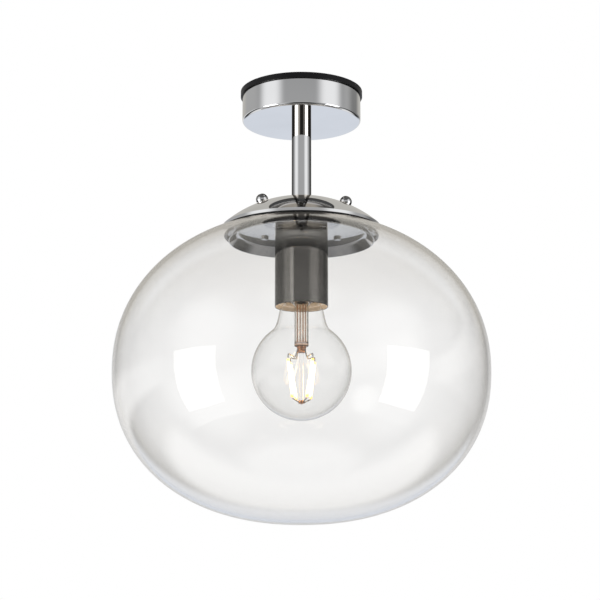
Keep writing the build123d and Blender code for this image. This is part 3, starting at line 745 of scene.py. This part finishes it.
def makeRingTree():  # copies of one piece
    tree, put, out = shapeTree("ringOfCopies", {
        "Piece": "Object", "Count": 3, "Ring Radius": 0.03, "Start Angle": 0.0})
    info = addNode(tree, "GeometryNodeObjectInfo", {"Object": put["Piece"]})
    copiesRound(tree, put, info.outputs["Geometry"], out)
    return tree


def makeDishScrews(c):
    head = makeScrewHead(c)
    piece = grownPiece("dishScrews", makeRingTree(), {**c, "Piece": head, "Material": finishes["chrome"]})
    bpy.data.objects.remove(head)
    return dress(piece, "fixture", "chrome", "dish_screws")


makeDishScrews(dishScrew)

socketSleeve = {"outerR": 21.5, "topZ": -117.2, "lowZ": -180.4, "wall": 0.8, "boreR": 5.25, "beadR": 0.4}


def makeSleeve(c):
    inner = c["outerR"] - c["wall"]
    bead = c["beadR"]
    outline = joined(
        run((c["boreR"], c["topZ"]), (c["outerR"], c["topZ"]), 3),
        run((c["outerR"], c["topZ"]), (c["outerR"], c["lowZ"] + bead), 8, 0.004),
        bend(c["outerR"] - bead, c["lowZ"] + bead, bead, 0, -180, 12),
        run((inner, c["lowZ"] + bead), (inner, c["topZ"] - c["wall"]), 6),
        run((inner, c["topZ"] - c["wall"]), (c["boreR"], c["topZ"] - c["wall"]), 3),
    )
    return turnedPiece("socketSleeve", outline)


dress(makeSleeve(socketSleeve), "fixture", "dark_chrome", "socket_sleeve")
print("dish, screws and sleeve made")


# bulb

bulbGlobe = {"neckR": 12.7, "globeR": 40.0, "globeZ": -232.6, "capZ": -175.5, "wall": 0.8, "joinAngle": 51.0,
             "waistR": (16.69, 20.31), "waistDrop": (5.0, 19.6), "neckDrop": 0.3, "tuck": 3.0}


def smoothLine(spots, startWay, endWay, count):  # eased curve through a few points
    points = [Vector(s) for s in spots]
    ways = []
    for k, p in enumerate(points):
        if k == 0:
            ways.append(Vector(startWay).normalized() * (points[1] - p).length)
        elif k == len(points) - 1:
            ways.append(Vector(endWay).normalized() * (p - points[k - 1]).length)
        else:
            ways.append((points[k + 1] - points[k - 1]) / 2)
    line = []
    for k in range(len(points) - 1):
        for j in range(count):
            t = j / count
            h1, h2 = 2 * t**3 - 3 * t**2 + 1, t**3 - 2 * t**2 + t
            h3, h4 = -2 * t**3 + 3 * t**2, t**3 - t**2
            line.append(tuple(points[k] * h1 + ways[k] * h2 + points[k + 1] * h3 + ways[k + 1] * h4))
    line.append(tuple(points[-1]))
    return line


def bulbSide(c, wall):
    globe = c["globeR"] - wall
    a = math.radians(c["joinAngle"])
    neck = c["neckR"] - wall
    spots = [(neck, c["capZ"] - c["neckDrop"])]
    spots += [(r - wall, c["capZ"] - d) for r, d in zip(c["waistR"], c["waistDrop"])]
    spots.append((globe * math.cos(a), c["globeZ"] + globe * math.sin(a)))
    flare = smoothLine(spots, (0, -1), (math.sin(a), -math.cos(a)), 14)
    ball = bend(0, c["globeZ"], globe, c["joinAngle"], -90, 90)
    ball[-1] = (0, c["globeZ"] - globe)
    return joined([(neck, c["capZ"] + c["tuck"])], flare, ball)


def makeBulb(c):
    outline = bulbSide(c, 0.0)[::-1] + bulbSide(c, c["wall"])
    return turnedPiece("bulbGlobe", outline, 192, open=True)


dress(makeBulb(bulbGlobe), "bulb", "bulb_glass", "bulb_glass")

glassMount = {"topZ": -174.0, "flareR": 11.8, "flareLen": 7.5, "lipLong": 1.0, "throatOut": 1.5,
              "throatWay": (-0.6, -1), "stemR": 5.7, "footR": 1.0, "wall": 1.0, "lowZ": -213.0,
              "floorZ": -210.0}


def makeMount(c):
    top = c["topZ"]
    long = c["flareLen"]
    foot = c["footR"]
    inner = c["stemR"] - c["wall"]

    def throat(stem, flare):
        spots = [(flare, top - c["lipLong"]), (stem + c["throatOut"], top - long / 2), (stem, top - long)]
        return smoothLine(spots, c["throatWay"], (0, -1), 12)

    outline = joined(
        [(0, c["lowZ"])],
        bend(c["stemR"] - foot, c["lowZ"] + foot, foot, -90, 0, 8),
        run((c["stemR"], c["lowZ"] + foot), (c["stemR"], top - long), 4),
        throat(c["stemR"], c["flareR"])[::-1],
        [(c["flareR"], top), (c["flareR"] - c["wall"], top)],
        throat(inner, c["flareR"] - c["wall"]),
        run((inner, top - long), (inner, c["floorZ"]), 4),
        [(0, c["floorZ"])],
    )
    return turnedPiece("glassMount", outline, 96, open=True)


# the warm tint of the whole mount is a painted reflection of the brown wires in the glass; the deep band at
# the foot is the wires sealed in
mountGlass = clearGlass("mountGlass", (0.97, 0.94, 0.9), 1.46, 0.01, 16.0, 0.02, {
    "clearZ": -207.5, "deepZ": -212.5, "tint": (0.5, 0.27, 0.15)})  # wires sealed in at the foot
dress(makeMount(glassMount), "bulb", "bulb_glass", "bulb_mount", mountGlass)

copperCollar = {"outerR": 3.72, "topZ": -213.0, "lowZ": -217.8, "chamfer": 0.3, "grooveR": 0.35, "grooves": 2}


def makeCollar(c):
    tall = c["topZ"] - c["lowZ"]
    rimR = c["outerR"] - c["chamfer"]
    outline = [(0, c["topZ"]), (rimR, c["topZ"]), (c["outerR"], c["topZ"] - c["chamfer"])]
    for k in range(c["grooves"]):
        z = c["topZ"] - tall * (k + 1) / (c["grooves"] + 1)
        for t in (-90, -45, 0, 45, 90):
            a = math.radians(t)
            outline.append((c["outerR"] - c["grooveR"] * math.cos(a), z - c["grooveR"] * math.sin(a)))
    outline += [(c["outerR"], c["lowZ"] + c["chamfer"]), (rimR, c["lowZ"]), (0, c["lowZ"])]
    return turnedPiece("copperCollar", outline, 64, open=True)


dress(makeCollar(copperCollar), "bulb", "copper", "bulb_collar")

copperHub = {"outerR": 2.6, "topZ": -256.6, "lowZ": -259.0, "edge": 0.5, "pinR": 0.9, "pinZ": -259.6,
             "taper": 0.3}


def makeHub(c):
    outline = joined(
        [(0, c["topZ"])],
        bend(c["outerR"] - c["edge"], c["topZ"] - c["edge"], c["edge"], 90, 0, 6),
        bend(c["outerR"] - c["edge"], c["lowZ"] + c["edge"], c["edge"], 0, -90, 6),
        [(c["pinR"], c["lowZ"]), (c["pinR"] - c["taper"], c["pinZ"]), (0, c["pinZ"])],
    )
    return turnedPiece("copperHub", outline, 48, open=True)


dress(makeHub(copperHub), "bulb", "copper", "bulb_hub")

screwThread = {"rootR": 12.0, "crestR": 13.1, "pitch": 3.629, "lowZ": -172.0, "highZ": -158.0, "rows": 56,
               "skirtR": 13.25, "skirtZ": -175.5, "skirtWall": 0.4, "hem": 0.3, "shoulder": 0.9,
               "neckR": 10.2, "neckZ": -155.6, "neckDrop": 0.2, "wall": 0.6, "fade": 1.3, "near": 1e-4}


def makeThread(c):  # right-hand thread pressed into the cap
    bore = c["rootR"] - c["wall"]
    skirtIn = c["skirtR"] - c["skirtWall"]
    stepZ = c["lowZ"] - c["skirtWall"]
    rows = [c["lowZ"] + (c["highZ"] - c["lowZ"]) * k / c["rows"] for k in range(c["rows"] + 1)]
    outline = joined(
        [(skirtIn, c["skirtZ"]), (c["skirtR"], c["skirtZ"] + c["hem"])],
        [(c["skirtR"], c["lowZ"] - c["shoulder"])],
        [(c["rootR"], z) for z in rows],
        [(c["neckR"], c["neckZ"]), (c["neckR"] - c["wall"], c["neckZ"]), (bore, c["highZ"] - c["neckDrop"])],
        [(bore, stepZ), (skirtIn, stepZ)],
    )
    mesh = turnedMesh("screwThread", outline, 128)
    for v in mesh.vertices:  # each point of the root moves out by its place on the ridge
        z = v.co.z / mm
        r = math.hypot(v.co.x, v.co.y) / mm
        if abs(r - c["rootR"]) > c["near"] or not c["lowZ"] < z < c["highZ"]:
            continue
        share = (z - c["lowZ"]) / c["pitch"] - math.atan2(v.co.y, v.co.x) / (2 * math.pi)
        ends = min(1.0, (z - c["lowZ"]) / c["fade"], (c["highZ"] - z) / c["fade"])
        ridge = (0.5 - 0.5 * math.cos(2 * math.pi * share)) * ends
        grow = 1 + ridge * (c["crestR"] - c["rootR"]) / c["rootR"]
        v.co.x *= grow
        v.co.y *= grow
    return newPiece("screwThread", smoothMesh(mesh))


dress(makeThread(screwThread), "bulb", "nickel", "bulb_cap")

wireSpots = ("First", "Second", "Third", "Fourth")


def straight(start, end):  # points of a straight wire, from mm
    return {title: Vector(start).lerp(Vector(end), k / 3) * mm for k, title in enumerate(wireSpots)}


def bent(*spots):  # points of a bent wire in the r-z plane, from mm
    return {title: Vector((r, 0, z)) * mm for title, (r, z) in zip(wireSpots, spots)}


filamentSticks = {**straight((13.9, 0, -224.4), (8.174, -1.441, -254.4)), "Radius": 0.0011, "Bend": 0.0,
                  "Count": 4, "Start Angle": math.radians(40.0)}
topLeads = {**bent((4.034, -215.5), (6.434, -222.2), (13.9, -220.2), (13.9, -223.65)), "Radius": 0.00045,
            "Bend": 0.0009, "Count": 4, "Start Angle": math.radians(40.0)}
lowLeads = {**straight((8.2, 0, -255.25), (2.85, 0, -257.8)), "Radius": 0.00045, "Bend": 0.0,
            "Count": 4, "Start Angle": math.radians(30.0)}
mountWires = {**straight((3.4, 0, -209.95), (3.4, 0, -178.5)), "Radius": 0.00045, "Bend": 0.0,
              "Count": 4, "Start Angle": math.radians(20.0)}


def makeWiresTree():  # a wire through four points, repeated round the bulb's axis
    tree, put, out = shapeTree("wiresAround", {
        **dict.fromkeys(wireSpots, "Vector"), "Bend": 0.001, "Radius": 0.001, "Count": 4, "Ring Radius": 0.0,
        "Start Angle": 0.0})
    line = addNode(tree, "GeometryNodeMeshLine", {"Count": len(wireSpots)}).outputs["Mesh"]
    choose = addNode(tree, "GeometryNodeIndexSwitch", {}, data_type="VECTOR")
    while len(choose.index_switch_items) < len(wireSpots):
        choose.index_switch_items.new()
    index = tree.nodes.new("GeometryNodeInputIndex").outputs[0]
    fill(tree, choose, {"Index": index, **{k + 1: put[title] for k, title in enumerate(wireSpots)}})
    move = addNode(tree, "GeometryNodeSetPosition", {"Geometry": line, "Position": choose.outputs[0]})
    path = addNode(tree, "GeometryNodeMeshToCurve", {"Mesh": move.outputs["Geometry"]})
    soft = addNode(tree, "GeometryNodeFilletCurve", {
        "Curve": path.outputs["Curve"], "Radius": put["Bend"], "Count": 8, "Limit Radius": True}, mode="POLY")
    ring = addNode(tree, "GeometryNodeCurvePrimitiveCircle", {"Resolution": 20, "Radius": put["Radius"]})
    pipe = addNode(tree, "GeometryNodeCurveToMesh", {
        "Curve": soft.outputs["Curve"], "Profile Curve": ring.outputs[0], "Fill Caps": True})
    copiesRound(tree, put, pipe.outputs[0], out)
    return tree


wiresAround = makeWiresTree()


def makeWires(name, c, slotName, node):
    piece = grownPiece(name, wiresAround, {**c, "Material": finishes[slotName]}, 50)
    return dress(piece, "bulb", slotName, node)


makeWires("filamentSticks", filamentSticks, "filament", "filaments")
makeWires("topLeads", topLeads, "nickel", "top_leads")
makeWires("lowLeads", lowLeads, "nickel", "low_leads")
makeWires("mountWires", mountWires, "copper", "mount_wires")
print("bulb made")


# studio: plain pale floor, two soft panels, white background

studio = {"floorZ": -1.30, "floorR": 1.3, "floorSeen": 0.8, "floorMirror": 0.86, "floorFront": 0.06,
          "floorUnder": (0.60, 0.35), "floorBack": (-0.05, 0.25), "floorAway": (0.18, 0.42),
          "panelWide": 0.62, "panelTall": 0.85, "panelAway": 1.25, "panelTurn": 62.0, "panelZ": -0.50,
          "panelGlow": 2.6, "fill": 0.9, "room": 0.42, "roomLeft": 0.85, "roomRight": 0.20, "ceiling": 0.10,
          "far": (0.53, 0.515, 0.48), "backdrop": 0.74, "lowFar": (0.74, 0.78, 0.85), "lowSide": 0.03,
          "lowLeft": 0.70, "lowMiddle": 0.02, "lowRight": 0.30, "lowDeep": 0.25, "lowLater": 0.08,
          "warm": (1.0, 0.93, 0.84)}
paperLook = {"Color": (0.8, 0.8, 0.8), "Pale": (0.84, 0.84, 0.84), "Scale": 60.0, "Rough": 0.8, "Spread": 0.1}
roomZones = {  # axis of a ray's way, where the zone starts and where it is full
    "behind": ("Y", -0.1, 0.3), "backdrop": ("Y", 0.80, 0.97), "right": ("X", 0.25, 0.6),
    "rightBack": ("Y", 0.1, 0.5), "left": ("X", -0.2, -0.45), "leftLow": ("Z", 0.16, 0.06),
    "high": ("Z", 0.28, 0.50), "steep": ("Z", 0.16, 0.36), "steepBack": ("Y", 0.60, 0.85),
    "below": ("Z", -0.07, -0.17), "lowMiddle": ("X", -0.6, -0.2), "lowBack": ("Y", -0.15, 0.15),
    "lowFar": ("Y", 0.78, 0.90), "deep": ("Z", -0.42, -0.60), "deepBack": ("Y", 0.0, 0.3)}
softSpill = {"edge": 0.82, "fall": 2.6, "glow": 0.92, "level": 1.0, "inner": False}
spills = (  # soft ones above the two panels, and a narrow strip that only the sleeve shows
    {"way": (-0.840, -0.446, 0.309), **softSpill}, {"way": (0.798, -0.518, 0.309), **softSpill},
    {"way": (-0.66, -0.73, 0.17), "edge": 0.975, "fall": 1.5, "glow": 1.0, "level": 1.7, "inner": True})
bulbLight = {"power": 1.2, "color": (1.0, 0.72, 0.42), "softR": 0.012, "z": -0.2394}
photoView = {"place": (-0.0012, -1.289, -0.4489), "pitch": 12.0, "lens": 98.5, "sensor": 36.0, "clip": 0.01}


def rayMarks(tree):
    rays = tree.nodes.new("ShaderNodeLightPath").outputs
    mirrored = sums(tree, "MINIMUM", rays["Glossy Depth"], 1.0)
    later = sums(tree, "GREATER_THAN", rays["Glossy Depth"], 1.5)  # after a second mirror
    inside = sums(tree, "GREATER_THAN", rays["Transmission Depth"], 2.5)  # seen in metal inside the shade
    return rays, mirrored, later, inside


def makeFloor(c):
    floor = turnedPiece("studioFloor", [(0, 0), (c["floorR"] / mm, 0)], 96, open=True)
    floor.data.transform(Matrix.Translation((0, 0, c["floorZ"])))
    material, tree, shader, place = newMaterial("palePaper")
    grain = useGroup(tree, mouldGrain, place, **paperLook)
    fill(tree, shader, {"Base Color": grain["Color"], "Roughness": grain["Roughness"]})
    rays, mirrored, later, inside = rayMarks(tree)

    def mixed(share, first, second):
        return addNode(tree, "ShaderNodeMixShader", {0: share, 1: first, 2: second}).outputs[0]

    def shift(share, first, second):
        return sums(tree, "MULTIPLY_ADD", share, sums(tree, "SUBTRACT", second, first), first)

    reach = axisReach(tree, place)
    under = rise(tree, reach, *c["floorUnder"])
    pale = sums(tree, "MAXIMUM", rise(tree, split(tree, place)["Y"], *c["floorBack"]), under)
    outside = shift(later, shift(pale, c["floorFront"], c["floorMirror"]), c["lowLater"])  # dark in front
    away = shift(later, c["lowDeep"], c["lowLater"])
    within = shift(rise(tree, reach, *c["floorAway"]), c["floorMirror"], away)
    white = tree.nodes.new("ShaderNodeEmission").outputs[0]
    seen = mixed(sums(tree, "MULTIPLY", rays["Is Camera Ray"], c["floorSeen"]), shader.outputs[0], white)
    dim = addNode(tree, "ShaderNodeEmission", {"Strength": shift(inside, outside, within)})  # for mirrors
    fill(tree, tree.nodes["Material Output"], {"Surface": mixed(mirrored, seen, dim.outputs[0])})
    floor.data.materials.append(material)


def makeWorld(c):
    world = bpy.data.worlds.new("studio")
    bpy.context.scene.world = world
    world.use_nodes = True
    tree = world.node_tree
    way = tree.nodes.new("ShaderNodeTexCoord").outputs["Generated"]
    axes = split(tree, way)
    zone = {name: rise(tree, axes[axis], start, full, how="SMOOTHSTEP")
            for name, (axis, start, full) in roomZones.items()}
    rays, mirrored, later, inside = rayMarks(tree)

    def mixed(share, first, second):
        return blend(tree, share, first, second)

    def both(first, second):
        return sums(tree, "MULTIPLY", first, second)

    def either(first, second):
        return sums(tree, "MAXIMUM", first, second)

    level = mixed(both(zone["right"], zone["rightBack"]), c["room"], c["roomRight"])
    facing = mixed(zone["high"], level, c["ceiling"])
    beyond = mixed(zone["backdrop"], level, c["backdrop"])
    beyond = mixed(both(zone["left"], zone["leftLow"]), beyond, c["roomLeft"])
    beyond = mixed(either(zone["high"], both(zone["steep"], zone["steepBack"])), beyond, c["far"])
    upper = mixed(zone["behind"], facing, beyond)
    near = mixed(zone["right"], mixed(zone["lowMiddle"], c["lowLeft"], c["lowMiddle"]), c["lowRight"])
    around = mixed(zone["lowBack"], near, c["lowSide"])
    floor = mixed(later, mixed(inside, c["floorMirror"], c["lowDeep"]), c["lowLater"])
    around = mixed(both(zone["deep"], either(zone["deepBack"], either(later, inside))), around, floor)
    room = mixed(zone["below"], upper, mixed(zone["lowFar"], around, c["lowFar"]))
    for spill in spills:
        toward = addNode(tree, "ShaderNodeVectorMath", {0: way, 1: Vector(spill["way"]).normalized()},
                         operation="DOT_PRODUCT").outputs["Value"]
        lit = sums(tree, "POWER", rise(tree, toward, spill["edge"], 1.0, how="SMOOTHSTEP"), spill["fall"])
        if spill["inner"]:
            lit = both(lit, inside)
        room = mixed(both(lit, spill["glow"]), room, spill["level"])
    warm = addNode(tree, "ShaderNodeVectorMath", {0: room, 1: c["warm"]}, operation="MULTIPLY")
    room = mixed(later, room, warm.outputs["Vector"])  # light that goes to and fro in the metal turns warm
    through = both(rays["Is Transmission Ray"], sums(tree, "SUBTRACT", 1.0, mirrored))
    seen = either(rays["Is Camera Ray"], through)
    shown = either(rays["Is Glossy Ray"], rays["Is Transmission Ray"])
    color = mixed(seen, mixed(shown, c["fill"], room), 1.0)
    fill(tree, tree.nodes["Background"], {"Color": color, "Strength": 1.0})


def makePanels(c):
    a = math.radians(c["panelTurn"])
    for side in (-1, 1):
        light = bpy.data.lights.new("softPanel", "AREA")
        light.shape = "RECTANGLE"
        light.size = c["panelWide"]
        light.size_y = c["panelTall"]
        light.energy = c["panelGlow"] * math.pi * c["panelWide"] * c["panelTall"]
        lamp = newPiece(f"softPanel{side}", light)
        way = Vector((side * math.sin(a), -math.cos(a), 0.0))
        lamp.location = Vector((0, 0, c["panelZ"])) + way * c["panelAway"]
        lamp.rotation_euler = way.to_track_quat("Z", "Y").to_euler()
        lamp.visible_camera = False
        lamp.visible_transmission = False  # never seen through the glass, only in it


def makeBulbGlow(c):  # the lit filaments' warm light on what is round them
    light = bpy.data.lights.new("bulbGlow", "POINT")
    light.energy = c["power"]
    light.color = c["color"]
    light.shadow_soft_size = c["softR"]
    lamp = newPiece("bulbGlow", light)
    lamp.location = (0, 0, c["z"])
    for ray in ("camera", "glossy", "transmission"):
        setattr(lamp, "visible_" + ray, False)


def makeCamera(c):
    camera = bpy.data.cameras.new("photoView")
    camera.lens = c["lens"]
    camera.sensor_width = c["sensor"]
    camera.clip_start = c["clip"]
    holder = newPiece("photoView", camera)
    holder.location = c["place"]
    holder.rotation_euler = (math.radians(90 + c["pitch"]), 0, 0)
    bpy.context.scene.camera = holder


makeFloor(studio)
makeWorld(studio)
makePanels(studio)
makeBulbGlow(bulbLight)
makeCamera(photoView)
bpy.context.scene.view_settings.view_transform = "Standard"
print("studio made")
